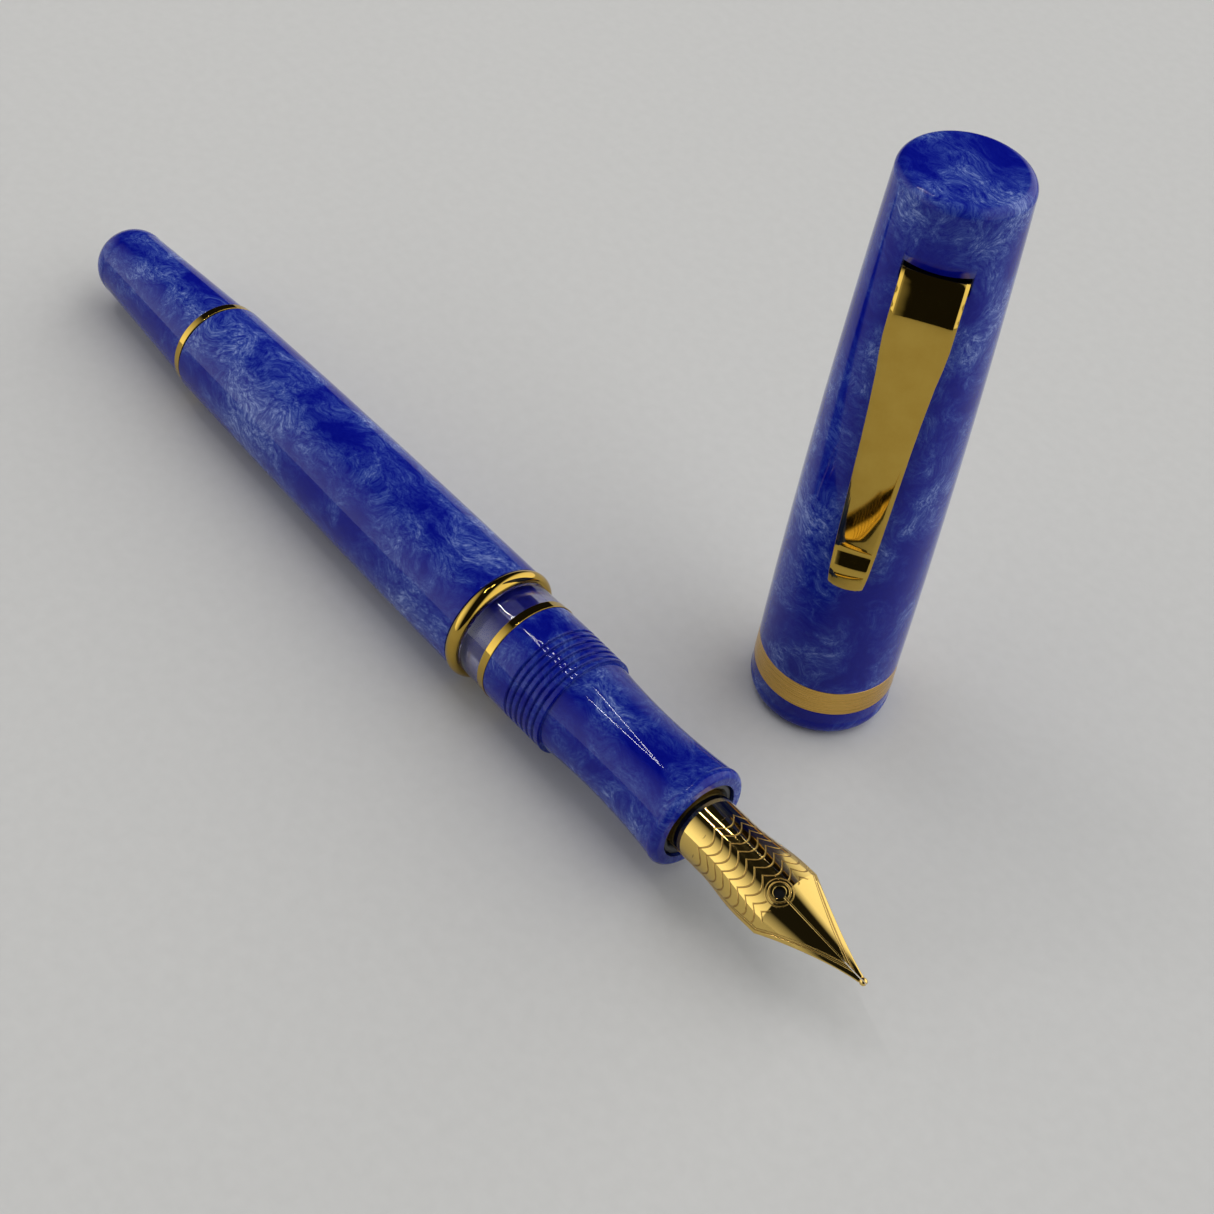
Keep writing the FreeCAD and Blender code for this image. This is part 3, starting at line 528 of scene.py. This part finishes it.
def engraved_gold():
    """Polished gold, default IOR, engraved. The lines come from the nib's own plan in millimetres: a double
    border inside the edge, two rings round the breather hole, and rows of scallops. A row's rise is the
    absolute sine of the distance across."""
    made, tree = new_material("engraved_polished_gold")
    plan = add(tree, "Attribute", {"attribute_name": "plan"}).outputs["Vector"]
    across, station, to_edge = add(tree, "SeparateXYZ", None, {0: plan}).outputs
    row_pitch, row_rise, scallop_rate = 1.1, 0.9, 1.25
    field_start, field_end, edge_margin, hole_margin = 29.0, 38.6, 0.95, 1.45

    def math_node(operation, *values):
        return add(tree, "Math", {"operation": operation}, dict(enumerate(values))).outputs[0]

    def line(value, middle, half_width):
        """One where the value is within half the line's width of its middle, falling to nothing over as
        much again."""
        distance = math_node("ABSOLUTE", math_node("SUBTRACT", value, middle))
        return add(tree, "MapRange", {"clamp": True}, {
            "Value": distance, "From Min": half_width, "From Max": 2 * half_width,
            "To Min": 1.0, "To Max": 0.0}).outputs[0]

    borders = math_node("MAXIMUM", line(to_edge, 0.6, 0.045), line(to_edge, 0.85, 0.025))
    lengthwise = math_node("SUBTRACT", station, breather_station)
    from_hole = math_node("SQRT", math_node("ADD", math_node("MULTIPLY", across, across),
                                            math_node("MULTIPLY", lengthwise, lengthwise)))
    rings = math_node("MAXIMUM", line(from_hole, 1.0, 0.05), line(from_hole, 1.35, 0.03))
    bend = math_node("ABSOLUTE", math_node("SINE", math_node("MULTIPLY", across, scallop_rate)))
    rows = math_node("DIVIDE", math_node("SUBTRACT", station, math_node("MULTIPLY", bend, row_rise)), row_pitch)
    scallops = line(math_node("MULTIPLY", math_node("FRACT", rows), row_pitch), row_pitch / 2, 0.055)
    inside = math_node("MULTIPLY", math_node("GREATER_THAN", to_edge, edge_margin),
                       math_node("GREATER_THAN", from_hole, hole_margin))
    field = math_node("MULTIPLY", math_node("GREATER_THAN", station, field_start),
                      math_node("LESS_THAN", station, field_end))
    shown = math_node("MULTIPLY", scallops, math_node("MULTIPLY", inside, field))
    lines = math_node("MAXIMUM", borders, math_node("MAXIMUM", rings, shown))
    tint = add(tree, "ValToRGB", None, {"Fac": lines}, [(0.0, colour("#d8b866")), (1.0, colour("#b08a48"))])
    rough = add(tree, "MapRange", None, {"Value": lines, "To Min": 0.06, "To Max": 0.35})
    bump = add(tree, "Bump", {"invert": True}, {"Height": lines, "Strength": 1.0, "Distance": 0.06 * MM})
    shade(tree, {"Base Color": tint.outputs["Color"], "Metallic": 1.0, "Roughness": rough.outputs[0],
                 "Normal": bump.outputs[0]})
    return made


finish(nib, "pen", "nib_gold", engraved_gold(), "nib")


def metal(name, tones, rough, grain_size):
    """A cut or ground metal, default IOR: its tone and roughness vary with the tool's marks."""
    made, tree = new_material(name)
    grain, tint = grained(tree, grain_size, tones)
    spread = add(tree, "MapRange", None, {"Value": grain, "To Min": rough - 0.08, "To Max": rough + 0.08})
    shade(tree, {"Base Color": tint, "Metallic": 1.0, "Roughness": spread.outputs[0]})
    return made


def refinish(material, *nodes):
    """Puts a material on CAD nodes that keep their own shape."""
    for node in nodes:
        slots = frame["nodes"][node].material_slots
        if not slots:
            frame["nodes"][node].data.materials.append(material)
        for place in slots:
            place.material = material


refinish(metal("ground_tipping_alloy", ("#d6b460", "#e6c97c"), 0.14, 0.1), "nib_tipping")

# ---- Filling knob ----
# Turned from the marbled rod with a rounded end. Its shank screws into the guide sleeve inside the barrel, so
# it backs out as it turns and winds the piston.

knob = turned("filling_knob", [
    (-78.53, 0), (-78.53, 2.30), (-59.53, 2.30), (-59.53, 3.20), (-50.53, 3.20), (-50.53, 4.00),
    (knob_face_station, 4.00), (knob_face_station, 5.44), (-76.53, 4.38), (-80.33, 1.50, -79.38, 3.35),
    (-80.33, 0)], pen_zero, pen_axes, edge=0.08)
finish(knob, "knob", "blue_marbled_acrylic", acrylic, "knob")

# ---- Filling mechanism ----
# Brass sleeve and drive nut turned on a lathe, an acetal piston rod, and rubber seals. All of it is inside
# the barrel, and shows only as the knob is backed out.


def plain(name, tones, rough, grain_size, index):
    """A moulded plastic or rubber of one roughness: its tone and its relief vary with the mould's grain."""
    made, tree = new_material(name)
    grain, tint = grained(tree, grain_size, tones)
    bump = add(tree, "Bump", None, {"Height": grain, "Strength": 0.2, "Distance": 0.02 * MM})
    shade(tree, {"Base Color": tint, "Roughness": rough, "IOR": index, "Normal": bump.outputs[0]})
    return made


refinish(metal("turned_brass", ("#b08a3e", "#cfa955"), 0.28, 0.2),
         "guide_sleeve", "drive_nut", "clip_bush", "clip_seat")
refinish(plain("moulded_acetal", ("#8b8d90", "#9b9da1"), 0.4, 0.4, 1.48), "piston_rod")
refinish(plain("moulded_seal_rubber", ("#141414", "#1e1e1e"), 0.75, 0.2, 1.52),
         "piston_seal", "section_seal", "sleeve_gasket")
refinish(black_plastic, "inner_cap")

# ---- Cap lip and band ----
# The lip is a turned acrylic ring that rounds in at the cap's foot. The wide band above it is brass, gold
# plated and brushed round to a satin finish.

foot_low, foot_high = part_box("cap_lip")
cap_zero = np.array([(foot_low[0] + foot_high[0]) / 2, (foot_low[1] + foot_high[1]) / 2, foot_low[2]])
hinge = np.array(joints["clip_flex"]["axis"])
clip_out = np.array([-hinge[1], hinge[0], 0.0]) / np.hypot(hinge[0], hinge[1])
cap_axes = np.array([clip_out, np.cross([0.0, 0.0, 1.0], clip_out), [0.0, 0.0, 1.0]])
band_low, band_high, band_low_radius, band_high_radius = 3.84, 7.13, 7.54, 7.49
band_seat_radius, cap_mouth_radius = 6.93, 6.20

lip = turned("cap_foot_lip", [
    (0, cap_mouth_radius), (0, 6.55), (2.2, 7.50, 0.62, 7.22), (band_low, band_low_radius),
    (band_low, band_seat_radius), (1.0, band_seat_radius), (1.0, cap_mouth_radius)],
    cap_zero, cap_axes, upright=True)
finish(lip, "cap", "blue_marbled_acrylic", acrylic, "cap_lip")
band = turned("cap_wide_band", [
    (band_low, band_seat_radius), (band_low, band_low_radius), (band_high, band_high_radius),
    (band_high, band_seat_radius)], cap_zero, cap_axes, upright=True)
satin_gold = gold_plate("satin_gold_plate", ("#c79a45", "#e0b662"), 0.22, 0.34, brushed=True)
finish(band, "cap", "satin_gold_plate", satin_gold, "cap_band")

# ---- Cap body ----
# Turned from the marbled rod and polished: a long tube with a slight swell, closed at the top, threaded
# inside near its foot and slotted near its top for the clip.

cap_thread_first, cap_thread_last, cap_thread_crest = 6.88, 12.58, 5.84
cap_body = turned("cap_body_tube", [
    (61.0, 0), (61.0, 5.30), (30.08, 5.30), (30.08, 5.95), (cap_thread_last, 5.95),
    (cap_thread_last, cap_thread_crest), (cap_thread_first, cap_thread_crest),
    (cap_thread_first, cap_mouth_radius), (1.0, cap_mouth_radius), (1.0, 6.91), (band_high, 6.91),
    (band_high, band_high_radius), (65.6, 6.107, 36.865, 7.115), (66.6, 5.06, 66.33, 5.79), (66.6, 0)],
    cap_zero, cap_axes, upright=True, segments=256)


def cut_slot(piece, half_width, low, high, reach, out):
    """Cuts a straight slot through a wall with a box that is then removed."""
    corners = np.array([[x, y, z] for x in (reach, out) for y in (-half_width, half_width)
                        for z in (low, high)])
    box = bpy.data.meshes.new("slot_cutter")
    box.from_pydata(placed(corners, cap_zero, cap_axes), [], [
        (0, 1, 3, 2), (4, 6, 7, 5), (0, 4, 5, 1), (2, 3, 7, 6), (0, 2, 6, 4), (1, 5, 7, 3)])
    cutter = bpy.data.objects.new("slot_cutter", box)
    bpy.context.scene.collection.objects.link(cutter)
    cut = piece.modifiers.new("slot", "BOOLEAN")
    cut.operation, cut.solver, cut.object = "DIFFERENCE", "EXACT", cutter
    bpy.context.view_layer.update()
    shape = bpy.data.meshes.new_from_object(piece.evaluated_get(bpy.context.evaluated_depsgraph_get()))
    piece.modifiers.clear()
    piece.data = shape
    bpy.data.objects.remove(cutter)


cut_slot(cap_body, half_width=3.07, low=58.30, high=60.17, reach=5.0, out=9.0)
finish(cap_body, "cap", "blue_marbled_acrylic", acrylic, "cap_tube")

# ---- Clip ----
# Spring brass strip, blanked, formed, polished and gold plated. Its tang goes through the cap's wall into the
# brass seat. The face is crowned, more so at the shoulder, with a bevel along both sides. The end turns out.

clip_path = np.array([
    (59.62, 3.60), (59.62, 4.90), (59.60, 5.70), (59.38, 6.28), (58.75, 6.66), (57.75, 7.09), (56.75, 7.52),
    (56.10, 7.76), (55.30, 7.90), (54.30, 7.93), (50.0, 7.88), (40.0, 7.86), (34.0, 7.82), (30.0, 7.76),
    (28.9, 7.72), (28.2, 7.78), (27.3, 8.16), (26.4, 8.55), (25.7, 8.66), (25.0, 8.63), (23.98, 8.52)])
clip_widths = np.array([(60, 2.95), (53.9, 2.95), (51.9, 2.84), (49.9, 2.66), (45.5, 2.45), (41.9, 2.33),
                        (35.7, 2.19), (28.4, 2.03), (26.0, 1.88), (23.9, 1.68)])[::-1]
clip_sheet = 0.75


def smooth_path(points, count):
    """A curve through every point: between two points each coordinate is the cubic whose end slopes are the
    mean slopes of the neighbouring chords, sampled at equal parameter steps."""
    before = np.concatenate([2 * points[:1] - points[1:2], points[:-1]])
    after = np.concatenate([points[1:], 2 * points[-1:] - points[-2:-1]])
    step = np.concatenate([[0], np.cumsum(np.hypot(*np.diff(points, axis=0).T) ** 0.5)])
    gap_before = np.concatenate([[1], np.diff(step)])[:, None]
    gap_after = np.concatenate([np.diff(step), [1]])[:, None]
    slopes = 0.5 * ((points - before) / gap_before + (after - points) / gap_after)
    at = np.linspace(0, step[-1], count)
    index = np.clip(np.searchsorted(step, at, side="right") - 1, 0, len(points) - 2)
    width = np.diff(step)[index][:, None]
    k = (at - step[index])[:, None] / width
    start, end = points[index], points[index + 1]
    return ((2 * k ** 3 - 3 * k ** 2 + 1) * start + (k ** 3 - 2 * k ** 2 + k) * width * slopes[index]
            + (3 * k ** 2 - 2 * k ** 3) * end + (k ** 3 - k ** 2) * width * slopes[index + 1])


def clip_strip():
    """The clip as loops along its path. A loop's point is (share of the flat's half width, distance past the
    flat, depth): a crowned face, a bevel, the side, and the flat back. The half width follows the clip's
    taper and rounds in along a circle at the end. The crown is deeper at the shoulder, and eases off to its
    plain depth past it."""
    path = smooth_path(clip_path, 260)
    travelled = np.concatenate([[0], np.cumsum(np.hypot(*np.diff(path, axis=0).T))])
    tangent = np.gradient(path, travelled, axis=0)
    tangent /= np.hypot(*tangent.T)[:, None]
    normal = np.column_stack([tangent[:, 1], -tangent[:, 0]])
    half = np.interp(path[:, 0], clip_widths[:, 0], clip_widths[:, 1])
    left = travelled[-1] - travelled
    corner, bevel, bevel_drop, side, back_edge = 0.55, 0.34, 0.12, clip_sheet / 2, 0.10
    crown, shoulder_crown, shoulder_end, fade_length = 0.10, 0.09, 5.5, 2.6
    short = np.clip(corner - left, 0, corner)
    half = half - corner + np.sqrt(corner ** 2 - short ** 2)
    flat = np.linspace(-1, 1, 25)
    face = np.column_stack([flat, 0 * flat, side - crown * flat ** 2])
    low = side - crown - bevel_drop
    faded = np.clip((travelled - shoulder_end) / fade_length, 0, 1)
    arched = shoulder_crown * (1 - faded ** 2 * (3 - 2 * faded))
    right = np.array([(1, 0.03, side - crown - 0.008), (1, 0.06, side - crown - 0.03),
                      (1, 0.30, low + 0.03), (1, 0.33, low), (1, bevel, low - 0.03),
                      (1, bevel, -side + back_edge), (1, bevel - 0.03, -side + 0.03),
                      (1, bevel - back_edge, -side)])
    mirrored = right[::-1] * [-1, -1, 1]
    back = np.column_stack([-flat[3:-3:3], 0 * flat[3:-3:3], -side + 0 * flat[3:-3:3]])
    loop = np.concatenate([face, right, back, mirrored])
    across = loop[:, 0] * (half[:, None] - bevel) + loop[:, 1]
    is_front = loop[:, 2] > -side + back_edge + 0.01
    depth = loop[:, 2] - arched[:, None] * is_front * loop[:, 0] ** 2
    out = path[:, 1:] + normal[:, 1:] * depth
    height = path[:, :1] + normal[:, :1] * depth
    grid = np.stack([out + 0 * across, across, height + 0 * across], -1)
    return with_ends(grid, grid[0].mean(0), grid[-1].mean(0))


clip = mesh_object("pocket_clip", [placed(clip_strip(), cap_zero, cap_axes)], [(False, True)])
finish(clip, "clip", "polished_gold_plate", polished_gold, "clip")

# ---- Surface, light and camera ----
# A plain pale surface in a room that is bright to the left and right and dark in front, above and behind,
# which gives the polished metal its black bands. A broad ceiling light casts the soft shadows, and two thin
# ceiling tubes shine as hairlines on the grip.

reach = 2.5  # metres, like every length in this section
floor_mesh = bpy.data.meshes.new("pale_surface")
floor_mesh.from_pydata([(-reach, -reach, 0), (reach, -reach, 0), (reach, reach, 0), (-reach, reach, 0)],
                       [], [(0, 1, 2, 3)])
floor = bpy.data.objects.new("pale_surface", floor_mesh)
bpy.context.scene.collection.objects.link(floor)
paint, paint_tree = new_material("pale_painted_board")
paint_grain, paint_tint = grained(paint_tree, 1.5, ("#cacac7", "#cdcdca"), detail=4.0)
shade(paint_tree, {"Base Color": paint_tint, "Roughness": 0.7, "Specular IOR Level": 0.2})
floor_mesh.materials.append(paint)

camera_place = Vector((0.1093, -0.1038, 0.1572))
camera_right = Vector((0.6408, 0.7601, 0.1080)).normalized()
camera_ahead = Vector((-0.4612, 0.4936, -0.7374)).normalized()
camera_up = camera_right.cross(camera_ahead).normalized()
camera_right = camera_ahead.cross(camera_up)
camera_data = bpy.data.cameras.new("camera")
camera_data.lens, camera_data.sensor_width = 57.4, 36.0
camera_data.clip_start, camera_data.clip_end = 0.005, 20.0
camera = bpy.data.objects.new("camera", camera_data)
camera.matrix_world = Matrix.Translation(camera_place) @ Matrix(
    (camera_right, camera_up, -camera_ahead)).transposed().to_4x4()
bpy.context.scene.collection.objects.link(camera)
bpy.context.scene.camera = camera

world = bpy.data.worlds.new("pale_room")
bpy.context.scene.world = world
world.use_nodes = True
room = world.node_tree
room.nodes.clear()
looking = add(room, "TexCoord").outputs["Generated"]
sideways = add(room, "VectorMath", {"operation": "DOT_PRODUCT"}, {0: looking, 1: tuple(camera_right)})
across_room = add(room, "MapRange", None, {"Value": sideways.outputs["Value"], "From Min": -1.0})
walls = add(room, "ValToRGB", None, {"Fac": across_room.outputs[0]}, [
    (0.0, (0.75, 0.75, 0.75, 1)), (0.12, (0.40, 0.40, 0.40, 1)), (0.27, (0.005, 0.005, 0.005, 1)),
    (0.67, (0.005, 0.005, 0.005, 1)), (0.77, (0.56, 0.56, 0.57, 1)), (1.0, (0.66, 0.66, 0.66, 1))])
backdrop = add(room, "Background", None, {"Color": walls.outputs["Color"], "Strength": 2.55})
add(room, "OutputWorld", None, {"Surface": backdrop.outputs[0]})


def soft_light(name, place, aim, size, power, tone, mirrored=False):
    """An area light of that size and power, facing the point it is aimed at. Shiny surfaces reflect its
    shape only where it is `mirrored`."""
    data = bpy.data.lights.new(name, "AREA")
    data.shape, data.size, data.size_y = "RECTANGLE", size[0], size[1]
    data.energy, data.color = power, tone
    made = bpy.data.objects.new(name, data)
    made.location = place
    made.rotation_euler = (Vector(aim) - Vector(place)).to_track_quat("-Z", "Y").to_euler()
    made.visible_glossy = mirrored
    bpy.context.scene.collection.objects.link(made)
    return made


soft_light("ceiling_light", (-0.14, 0.15, 1.0), (0, 0, 0), (1.6, 1.6), 5.0, (1.0, 0.99, 0.98))
grip_middle = Vector((0.03, -0.015, 0.012))
tube_ends = [((-0.31, -0.20, 0.90), (-0.51, -0.08, 0.86)), ((-0.31, 0.19, 0.90), (-0.50, -0.06, 0.87))]
tube_width = 0.010
for first, last in tube_ends:
    run = Vector(last) - Vector(first)
    middle = (Vector(first) + Vector(last)) / 2
    tube = soft_light("ceiling_tube", middle, grip_middle, (run.length, tube_width), 0.5, (1.0, 0.96, 1.0),
                      mirrored=True)
    facing = (middle - grip_middle).normalized()
    along = (run - run.dot(facing) * facing).normalized()
    tube.rotation_euler = Matrix((along, facing.cross(along), facing)).transposed().to_euler()
bpy.context.scene.view_settings.view_transform = "Standard"
